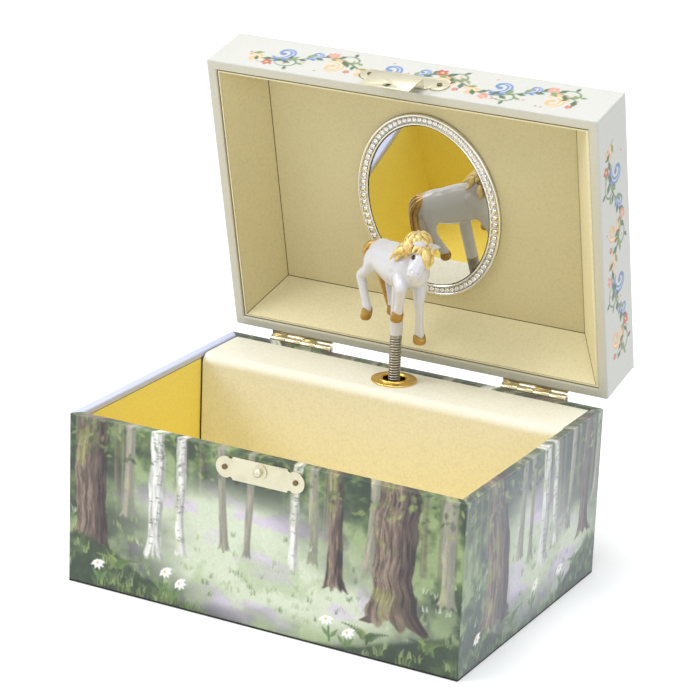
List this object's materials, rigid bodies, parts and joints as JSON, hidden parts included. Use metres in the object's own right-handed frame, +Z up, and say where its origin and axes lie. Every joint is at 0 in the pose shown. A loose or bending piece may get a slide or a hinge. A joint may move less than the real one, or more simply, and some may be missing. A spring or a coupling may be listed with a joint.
{
  "type": "musical jewellery box",
  "caption": "Paper-covered jewellery box with a hinged mirrored lid, a wind-up movement and a prancing horse that turns on a spring.",
  "frame": {"origin": "middle of the case's underside", "axes": "+Z up, the catch and the front face -Y, +X to the right seen from the front; the lid stands open"},
  "size_m": [0.152, 0.1384, 0.1761],
  "materials": {
    "board": "matt fibreboard",
    "woodland_paper": "embossed printed paper, satin",
    "vine_paper": "embossed printed paper, satin",
    "well_paper": "plain lining paper",
    "cream_card": "fine-grained embossed card",
    "liner_card": "fine-grained embossed card",
    "bottom_sheet": "matt black card",
    "bright_brass": "polished",
    "steel": "bright drawn steel",
    "spring_steel": "dark close-wound wire",
    "cast_frame": "die-cast, matt",
    "key_metal": "pressed and plated",
    "white_nylon": "natural nylon",
    "white_resin": "glossy white",
    "gold_paint": "metallic gold paint",
    "mirror_silver": "silvered, beaded",
    "mirror_glass": "silvered glass"
  },
  "bodies": {
    "base": {"floor_board": "board", "front_board": "board", "back_board": "board", "left_board": "board", "right_board": "board", "base_wrap": "woodland_paper", "base_lining": "well_paper", "bottom_sheet": "bottom_sheet", "movement_cover": "cream_card", "cover_ledges": "board", "grommet": "bright_brass", "base_hinge_leaves": "bright_brass", "hinge_pins": "steel", "base_hinge_nails": "bright_brass", "catch_plate": "bright_brass", "catch_knob": "bright_brass", "catch_nails": "bright_brass", "bedplate": "cast_frame", "movement_screws": "steel", "spring_housing": "bright_brass", "mainspring": "steel", "comb": "steel", "comb_screws": "steel", "lower_bridge": "cast_frame", "upper_bridge": "cast_frame", "governor_bracket": "cast_frame"},
    "drive": {"winding_arbor": "steel", "great_wheel": "bright_brass", "winding_key": "key_metal"},
    "tune": {"tune_cylinder": "bright_brass", "cylinder_arbor": "steel", "cylinder_pinion": "bright_brass", "cylinder_gear": "bright_brass", "spring_collar": "steel"},
    "governor": {"governor_arbor": "steel", "governor_wheel": "white_nylon"},
    "air_brake": {"worm_shaft": "steel", "fan": "bright_brass"},
    "stop": {"stop_wire": "steel"},
    "spring": {"figure_spring": "spring_steel"},
    "figure": {"figure_peg": "white_resin", "horse_body": "white_resin", "horse_mane": "gold_paint", "horse_tail": "gold_paint", "horse_hooves": "gold_paint"},
    "lid": {"lid_top_board": "board", "lid_front_board": "board", "lid_back_board": "board", "lid_left_board": "board", "lid_right_board": "board", "lid_wrap": "vine_paper", "lid_liner": "liner_card", "mirror_frame": "mirror_silver", "mirror_glass": "mirror_glass", "lid_hinge_leaves": "bright_brass", "lid_hinge_nails": "bright_brass", "latch_plate": "bright_brass", "latch_nails": "bright_brass"}
  },
  "joints": [
    {"name": "lid_hinge", "type": "hinge", "parent": "base", "child": "lid", "pos_m": [0, 0.0574, 0.0616], "axis": [-1, 0, 0], "range_deg": [-76, 0]},
    {"name": "key_turn", "type": "hinge", "parent": "base", "child": "drive", "pos_m": [0, 0.06, 0.0185], "axis": [0, 1, 0], "continuous": true},
    {"name": "tune_turn", "type": "hinge", "parent": "base", "child": "tune", "pos_m": [0, 0.0404, 0.04], "axis": [0, 0, 1], "continuous": true},
    {"name": "governor_turn", "type": "hinge", "parent": "base", "child": "governor", "pos_m": [0.011, 0.0404, 0.04], "axis": [0, 0, 1], "continuous": true},
    {"name": "fan_turn", "type": "hinge", "parent": "base", "child": "air_brake", "pos_m": [0.01546, 0.0404, 0.0415], "axis": [0, 1, 0], "continuous": true},
    {"name": "stop_push", "type": "slide", "parent": "base", "child": "stop", "axis": [0, 0, -1], "range_m": [0, 0.003]},
    {"name": "spring_bend", "type": "hinge", "parent": "base", "child": "spring", "pos_m": [0, 0.0404, 0.0686], "axis": [1, 0, 0], "range_deg": [0, 105], "deforming": ["figure_spring"]},
    {"name": "figure_turn", "type": "hinge", "parent": "spring", "child": "figure", "pos_m": [0, 0.0404, 0.09], "axis": [0, 0, 1], "continuous": true}
  ],
  "couplings": [
    {"joint": "tune_turn", "follows": "key_turn", "ratio": -4},
    {"joint": "governor_turn", "follows": "key_turn", "ratio": 16},
    {"joint": "fan_turn", "follows": "key_turn", "ratio": -128},
    {"joint": "figure_turn", "follows": "key_turn", "ratio": -4},
    {"joint": "spring_bend", "follows": "lid_hinge", "ratio": -1.3816},
    {"joint": "stop_push", "follows": "lid_hinge", "m_per_rad": -0.0022617}
  ]
}
